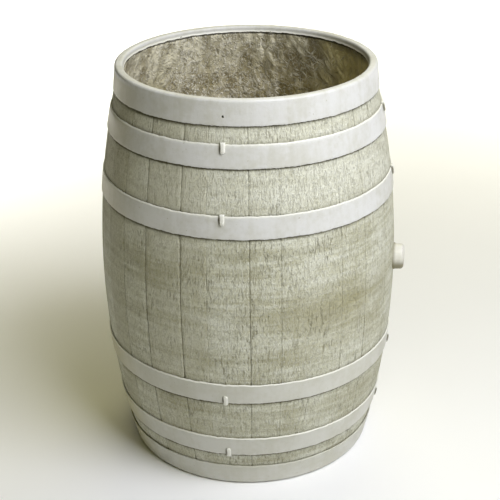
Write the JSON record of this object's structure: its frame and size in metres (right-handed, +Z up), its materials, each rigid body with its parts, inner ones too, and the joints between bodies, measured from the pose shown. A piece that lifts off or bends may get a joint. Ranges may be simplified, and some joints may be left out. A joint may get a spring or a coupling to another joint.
{
  "type": "open head drum",
  "caption": "Open-topped drum moulded as a wine cask: staved bulging wall, rolled rim collar, raised hoops with edge clips, closed flat base and a pull-out side bung.",
  "frame": {"origin": "on the drum's axis, at the flat underside of its base", "axes": "+Z up along the drum's axis, out of the open mouth; +X from the axis towards the bung; +Y completes a right-handed frame"},
  "size_m": [0.7212, 0.6962, 0.95],
  "materials": {
    "stave_gelcoat": "washed sage gelcoat over moulded wood grain, with darker stains and seams",
    "hoop_gelcoat": "smooth satin cream gelcoat, slightly wavy and grimy below its edges",
    "bung_gelcoat": "smooth satin cream gelcoat",
    "raw_glass_mat": "raw brown-olive glass mat laminate with silvery fibres"
  },
  "bodies": {
    "barrel": {"stave_shell": "stave_gelcoat", "glass_mat_lining": "raw_glass_mat", "rim_collar": "hoop_gelcoat", "upper_quarter_hoop": "hoop_gelcoat", "upper_bilge_hoop": "hoop_gelcoat", "lower_bilge_hoop": "hoop_gelcoat", "lower_quarter_hoop": "hoop_gelcoat", "foot_hoop": "hoop_gelcoat", "base_head": "raw_glass_mat", "base_bond_fillet": "raw_glass_mat", "upper_quarter_clip_bung_side": "hoop_gelcoat", "upper_quarter_clip_rear": "hoop_gelcoat", "upper_quarter_clip_far_side": "hoop_gelcoat", "upper_quarter_clip_front": "hoop_gelcoat", "upper_bilge_clip_bung_side": "hoop_gelcoat", "upper_bilge_clip_rear": "hoop_gelcoat", "upper_bilge_clip_far_side": "hoop_gelcoat", "upper_bilge_clip_front": "hoop_gelcoat", "lower_bilge_clip_bung_side": "hoop_gelcoat", "lower_bilge_clip_rear": "hoop_gelcoat", "lower_bilge_clip_far_side": "hoop_gelcoat", "lower_bilge_clip_front": "hoop_gelcoat", "lower_quarter_clip_bung_side": "hoop_gelcoat", "lower_quarter_clip_rear": "hoop_gelcoat", "lower_quarter_clip_far_side": "hoop_gelcoat", "lower_quarter_clip_front": "hoop_gelcoat"},
    "bung": {"bung": "bung_gelcoat"}
  },
  "joints": [
    {"name": "bung_pull", "type": "slide", "parent": "barrel", "child": "bung", "axis": [1, 0, 0], "range_m": [0, 0.05]}
  ]
}
